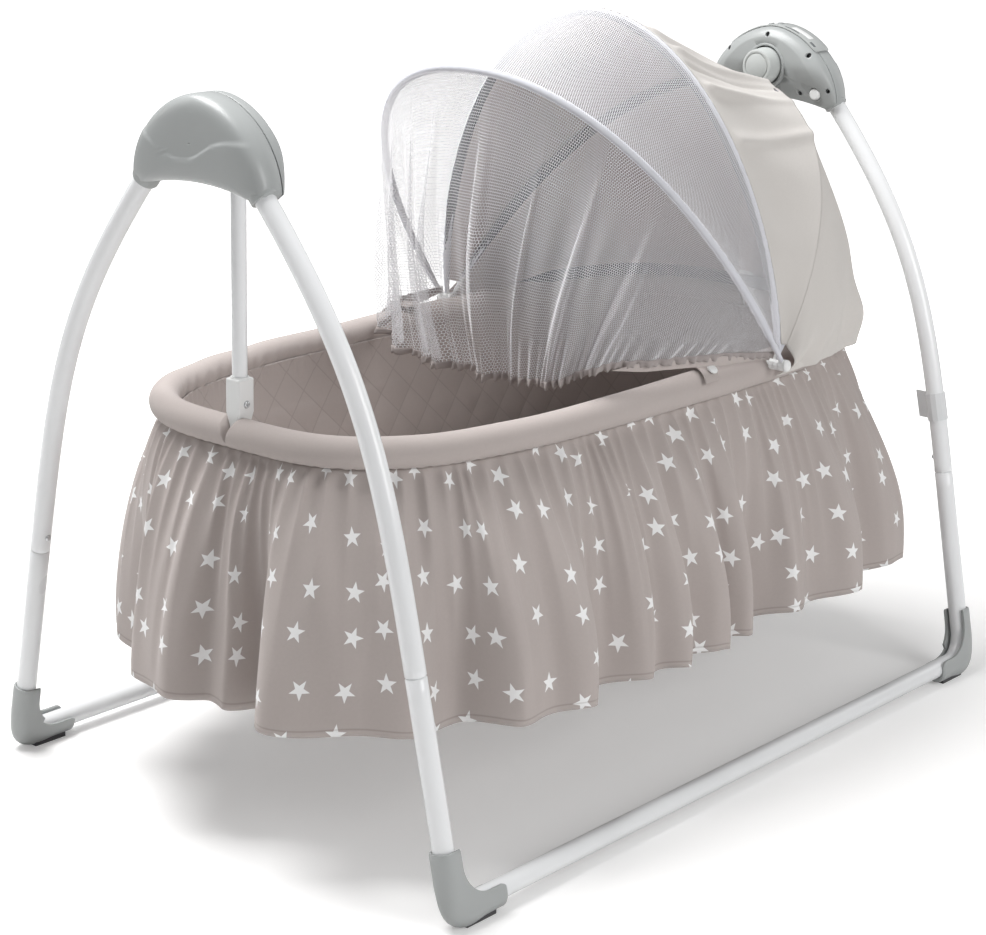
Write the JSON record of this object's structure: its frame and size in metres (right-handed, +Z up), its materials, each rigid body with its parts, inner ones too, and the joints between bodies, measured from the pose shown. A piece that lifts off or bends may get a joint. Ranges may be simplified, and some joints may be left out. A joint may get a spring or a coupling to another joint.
{
  "type": "electric baby cradle",
  "caption": "Swinging oval baby basket with gathered skirt, folding hood and mosquito net, hung between two bent tube A-frames with a motor head at one end.",
  "frame": {"origin": "on the floor under the middle of the stand", "axes": "+X along the basket towards the motor head, +Y across it, +Z up"},
  "size_m": [1.1328, 0.688, 0.8324],
  "materials": {
    "white_paint": "gloss white powder coat",
    "grey_plastic": "satin mid grey moulded plastic",
    "white_plastic": "white moulded plastic",
    "dark_rubber": "dark grey rubber",
    "steel": "zinc plated steel",
    "copper": "wound enamelled copper",
    "board": "green circuit board",
    "taupe_cloth": "taupe cotton, quilted or gathered",
    "pale_cloth": "pale warm grey cotton",
    "net_cloth": "fine white mesh",
    "fibreboard": "thin fibreboard"
  },
  "bodies": {
    "stand": {"base_tube_front": "white_paint", "leg_tube_front_idle": "white_paint", "foot_cover_front_idle": "grey_plastic", "foot_pad_front_idle": "dark_rubber", "leg_tube_front_motor": "white_paint", "foot_cover_front_motor": "grey_plastic", "foot_pad_front_motor": "dark_rubber", "base_tube_back": "white_paint", "leg_tube_back_idle": "white_paint", "foot_cover_back_idle": "grey_plastic", "foot_pad_back_idle": "dark_rubber", "leg_tube_back_motor": "white_paint", "foot_cover_back_motor": "grey_plastic", "foot_pad_back_motor": "dark_rubber", "idle_outer_shell": "grey_plastic", "idle_inner_shell": "grey_plastic", "idle_yoke": "steel", "idle_bearing": "steel", "motor_outer_shell": "grey_plastic", "motor_inner_shell": "grey_plastic", "motor_yoke": "steel", "motor_bearing": "steel", "leg_label_flag": "white_plastic", "control_panel": "white_plastic", "drive_coil": "copper", "circuit_board": "board", "speaker": "dark_rubber", "power_inlet": "dark_rubber"},
    "cradle": {"pivot_cap_front": "white_plastic", "pivot_cap_back": "white_plastic", "idle_hub": "grey_plastic", "idle_hanger_tube": "white_paint", "idle_rim_bracket": "white_plastic", "motor_hub": "grey_plastic", "motor_hanger_tube": "white_paint", "motor_rim_bracket": "white_plastic", "drive_lever": "steel", "rim_tube": "steel", "rim_cover": "taupe_cloth", "basket_tub": "taupe_cloth", "base_board": "fibreboard", "mattress": "taupe_cloth", "star_skirt": "taupe_cloth", "rear_drape": "pale_cloth"},
    "rear_hood_bow": {"rear_bow": "white_plastic"},
    "main_hood_bow": {"main_bow": "white_plastic", "hood_panel": "pale_cloth"},
    "net_hood_bow": {"net_bow": "white_plastic", "mosquito_net": "net_cloth"},
    "idle_release_button_front": {"idle_release_button_front": "white_plastic"},
    "leg_snap_button_front_idle": {"leg_snap_button_front_idle": "steel"},
    "idle_release_button_back": {"idle_release_button_back": "white_plastic"},
    "leg_snap_button_back_idle": {"leg_snap_button_back_idle": "steel"},
    "motor_release_button_front": {"motor_release_button_front": "white_plastic"},
    "leg_snap_button_front_motor": {"leg_snap_button_front_motor": "steel"},
    "motor_release_button_back": {"motor_release_button_back": "white_plastic"},
    "leg_snap_button_back_motor": {"leg_snap_button_back_motor": "steel"},
    "power_button": {"power_button": "grey_plastic"},
    "speed_button": {"speed_button": "grey_plastic"},
    "timer_button": {"timer_button": "grey_plastic"}
  },
  "joints": [
    {"name": "basket_swing", "type": "hinge", "parent": "stand", "child": "cradle", "pos_m": [0, 0, 0.738], "axis": [1, 0, 0], "range_deg": [-6, 6]},
    {"name": "rear_bow_tilt", "type": "hinge", "parent": "cradle", "child": "rear_hood_bow", "pos_m": [0.15, 0, 0.446], "axis": [0, 1, 0], "range_deg": [0, 8], "deforming": ["rear_drape", "mosquito_net"]},
    {"name": "hood_fold", "type": "hinge", "parent": "rear_hood_bow", "child": "main_hood_bow", "pos_m": [0.15, 0, 0.446], "axis": [0, 1, 0], "range_deg": [0, 42], "deforming": ["hood_panel", "mosquito_net"]},
    {"name": "net_fold", "type": "hinge", "parent": "main_hood_bow", "child": "net_hood_bow", "pos_m": [0.15, 0, 0.446], "axis": [0, 1, 0], "range_deg": [0, 29], "deforming": ["mosquito_net"]},
    {"name": "idle_release_button_front_press", "type": "slide", "parent": "stand", "child": "idle_release_button_front", "axis": [-1, 0, 0], "range_m": [0, 0.0035], "stiffness_N_per_m": 400},
    {"name": "leg_snap_button_front_idle_press", "type": "slide", "parent": "stand", "child": "leg_snap_button_front_idle", "axis": [0, -1, 0], "range_m": [0, 0.0024], "stiffness_N_per_m": 900},
    {"name": "idle_release_button_back_press", "type": "slide", "parent": "stand", "child": "idle_release_button_back", "axis": [-1, 0, 0], "range_m": [0, 0.0035], "stiffness_N_per_m": 400},
    {"name": "leg_snap_button_back_idle_press", "type": "slide", "parent": "stand", "child": "leg_snap_button_back_idle", "axis": [0, 1, 0], "range_m": [0, 0.0024], "stiffness_N_per_m": 900},
    {"name": "motor_release_button_front_press", "type": "slide", "parent": "stand", "child": "motor_release_button_front", "axis": [1, 0, 0], "range_m": [0, 0.0035], "stiffness_N_per_m": 400},
    {"name": "leg_snap_button_front_motor_press", "type": "slide", "parent": "stand", "child": "leg_snap_button_front_motor", "axis": [0, -1, 0], "range_m": [0, 0.0024], "stiffness_N_per_m": 900},
    {"name": "motor_release_button_back_press", "type": "slide", "parent": "stand", "child": "motor_release_button_back", "axis": [1, 0, 0], "range_m": [0, 0.0035], "stiffness_N_per_m": 400},
    {"name": "leg_snap_button_back_motor_press", "type": "slide", "parent": "stand", "child": "leg_snap_button_back_motor", "axis": [0, 1, 0], "range_m": [0, 0.0024], "stiffness_N_per_m": 900},
    {"name": "power_button_press", "type": "slide", "parent": "stand", "child": "power_button", "axis": [0, -0.3898, -0.9209], "range_m": [0, 0.0012], "stiffness_N_per_m": 300},
    {"name": "speed_button_press", "type": "slide", "parent": "stand", "child": "speed_button", "axis": [0, -0.1985, -0.9801], "range_m": [0, 0.0012], "stiffness_N_per_m": 300},
    {"name": "timer_button_press", "type": "slide", "parent": "stand", "child": "timer_button", "axis": [0, 0, -1], "range_m": [0, 0.0012], "stiffness_N_per_m": 300}
  ]
}
